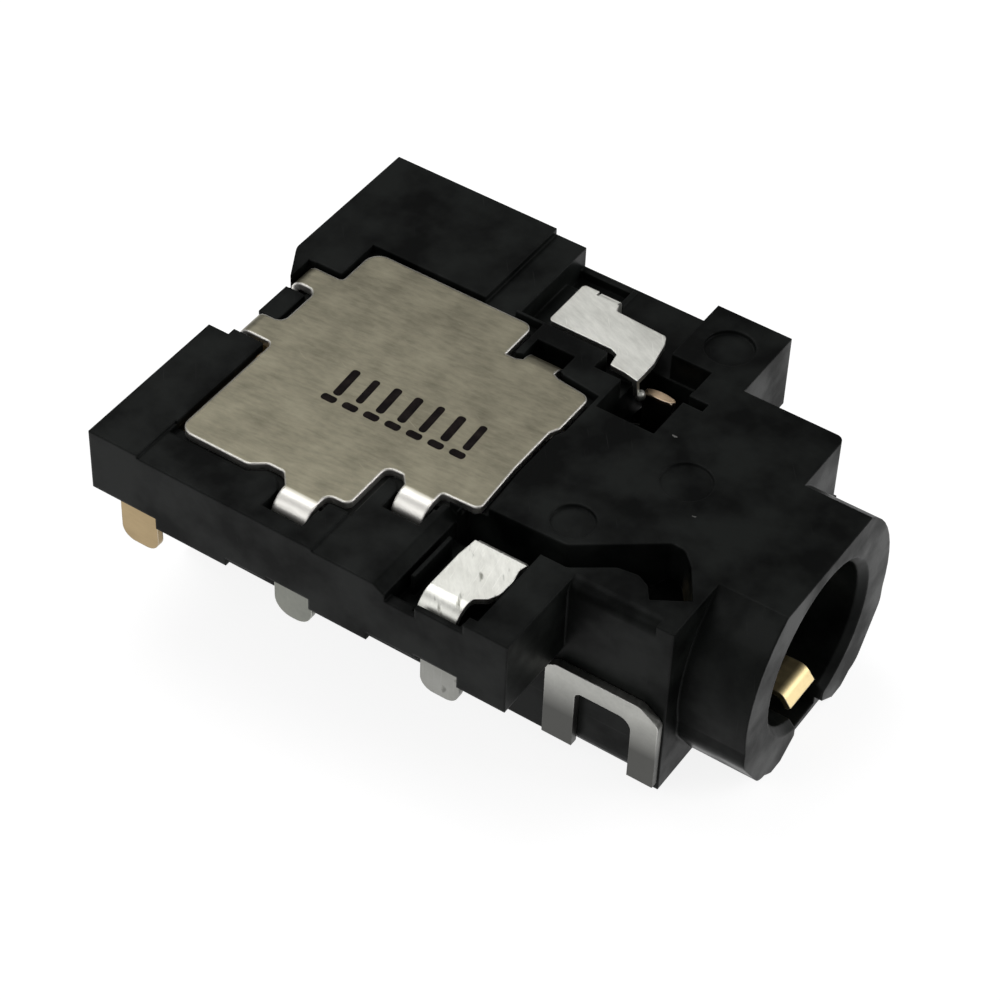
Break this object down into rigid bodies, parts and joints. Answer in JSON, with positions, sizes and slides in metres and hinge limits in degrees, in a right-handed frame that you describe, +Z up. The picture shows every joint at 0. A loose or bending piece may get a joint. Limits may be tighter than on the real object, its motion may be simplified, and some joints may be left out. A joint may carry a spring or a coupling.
{
  "type": "audio jack socket",
  "caption": "Low-profile board-mounted socket for a 3.5 mm audio plug, with spring contacts, a metal cover plate and solder tails.",
  "frame": {"origin": "on the plug axis in plan, at the moulding's rear end, at the height of the circuit board's top face", "axes": "+X along the plug axis and out of the mouth, +Z up from the board, +Y to the far side of the picture"},
  "size_m": [0.0138, 0.0106, 0.0047],
  "materials": {
    "black_plastic": "moulded, fine grain",
    "nickel_plate": "rolled sheet, faint diagonal grain",
    "tin_plate": "tin plated, satin",
    "gold_plate": "thin gold flash, satin"
  },
  "bodies": {
    "socket": {"housing": "black_plastic", "shield_plate": "nickel_plate", "near_switch_terminal": "tin_plate", "far_switch_terminal": "tin_plate", "near_hold_clip": "tin_plate", "far_hold_clip": "tin_plate"},
    "crown_spring_body": {"crown_spring": "gold_plate"},
    "near_spring_body": {"near_spring": "tin_plate"},
    "far_spring_body": {"far_spring": "gold_plate"},
    "tip_spring_body": {"tip_spring": "gold_plate"},
    "mouth_spring_body": {"mouth_spring": "gold_plate"}
  },
  "joints": [
    {"name": "crown_spring_flex", "type": "hinge", "parent": "socket", "child": "crown_spring_body", "pos_m": [0.002, 0, 0.00141], "axis": [0, -1, 0], "range_deg": [0, 5], "stiffness_Nm_per_rad": 0.02},
    {"name": "near_spring_flex", "type": "hinge", "parent": "socket", "child": "near_spring_body", "pos_m": [0.00485, -0.0036, 0], "axis": [0, 0, -1], "range_deg": [0, 4.5], "stiffness_Nm_per_rad": 0.02},
    {"name": "far_spring_flex", "type": "hinge", "parent": "socket", "child": "far_spring_body", "pos_m": [0.00518, 0.0036, 0], "axis": [0, 0, 1], "range_deg": [0, 6], "stiffness_Nm_per_rad": 0.02},
    {"name": "tip_spring_flex", "type": "hinge", "parent": "socket", "child": "tip_spring_body", "pos_m": [0.0047, 0, -0.00252], "axis": [0, -1, 0], "range_deg": [0, 10.5], "stiffness_Nm_per_rad": 0.02},
    {"name": "mouth_spring_flex", "type": "hinge", "parent": "socket", "child": "mouth_spring_body", "pos_m": [0.0066, 0, -0.00252], "axis": [0, 1, 0], "range_deg": [0, 5.5], "stiffness_Nm_per_rad": 0.02}
  ]
}
